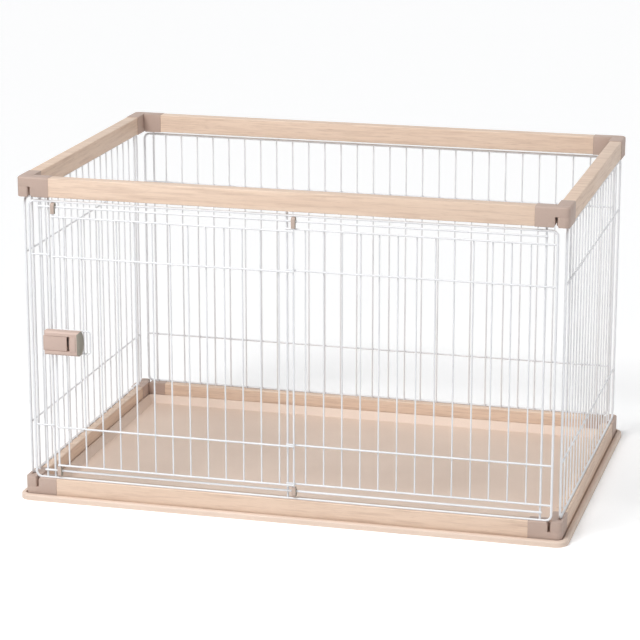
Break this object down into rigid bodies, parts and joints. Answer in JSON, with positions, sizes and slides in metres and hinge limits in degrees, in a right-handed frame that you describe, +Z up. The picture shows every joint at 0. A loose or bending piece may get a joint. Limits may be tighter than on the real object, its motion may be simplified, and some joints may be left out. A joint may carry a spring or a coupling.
{
  "type": "dog playpen",
  "caption": "Rectangular open-topped dog playpen: coated wire sides between wood-grain rails with plastic corner caps, a latched sliding front door and a plastic floor tray.",
  "frame": {"origin": "on the floor under the middle of the rails and the tray", "axes": "+X along the front to the right, +Y from the door side to the back, +Z up"},
  "size_m": [1.226, 0.8282, 0.728],
  "materials": {
    "rail_wood_grain": "satin",
    "cap_plastic": "matte",
    "coated_wire": "satin",
    "hook_plastic": "matte",
    "latch_plastic": "matte",
    "lever_plastic": "matte",
    "latch_plate_plastic": "matte",
    "pin_steel": "brushed",
    "spring_steel": "brushed",
    "tray_plastic": "satin"
  },
  "bodies": {
    "tray": {"tray": "tray_plastic"},
    "enclosure": {"lower_front_rail": "rail_wood_grain", "lower_back_rail": "rail_wood_grain", "lower_left_rail": "rail_wood_grain", "lower_right_rail": "rail_wood_grain", "upper_front_rail": "rail_wood_grain", "upper_back_rail": "rail_wood_grain", "upper_left_rail": "rail_wood_grain", "upper_right_rail": "rail_wood_grain", "lower_front_left_long_cap": "cap_plastic", "lower_front_left_short_cap": "cap_plastic", "lower_front_right_long_cap": "cap_plastic", "lower_front_right_short_cap": "cap_plastic", "lower_back_left_long_cap": "cap_plastic", "lower_back_left_short_cap": "cap_plastic", "lower_back_right_long_cap": "cap_plastic", "lower_back_right_short_cap": "cap_plastic", "upper_front_left_long_cap": "cap_plastic", "upper_front_left_short_cap": "cap_plastic", "upper_front_right_long_cap": "cap_plastic", "upper_front_right_short_cap": "cap_plastic", "upper_back_left_long_cap": "cap_plastic", "upper_back_left_short_cap": "cap_plastic", "upper_back_right_long_cap": "cap_plastic", "upper_back_right_short_cap": "cap_plastic", "front_frame": "coated_wire", "back_frame": "coated_wire", "left_frame": "coated_wire", "right_frame": "coated_wire", "back_grille": "coated_wire", "left_grille": "coated_wire", "right_grille": "coated_wire", "fixed_grille": "coated_wire", "strike_posts": "coated_wire", "strike_ties": "coated_wire", "guide_wires": "coated_wire"},
    "door": {"door": "coated_wire", "lower_left_hook": "hook_plastic", "lower_right_hook": "hook_plastic", "upper_left_hook": "hook_plastic", "upper_right_hook": "hook_plastic", "latch_housing": "latch_plastic", "latch_plate": "latch_plate_plastic", "latch_pin": "pin_steel", "latch_spring": "spring_steel"},
    "latch_lever": {"latch_lever": "lever_plastic"}
  },
  "joints": [
    {"name": "enclosure_lift", "type": "slide", "parent": "tray", "child": "enclosure", "axis": [0, 0, 1], "range_m": [0, 0.06]},
    {"name": "door_slide", "type": "slide", "parent": "enclosure", "child": "door", "axis": [1, 0, 0], "range_m": [0, 0.5125]},
    {"name": "latch_press", "type": "hinge", "parent": "door", "child": "latch_lever", "pos_m": [-0.515, -0.407, 0.36825], "axis": [0, 0, 1], "range_deg": [0, 16], "stiffness_Nm_per_rad": 0.2, "springref_deg": -8.59}
  ]
}
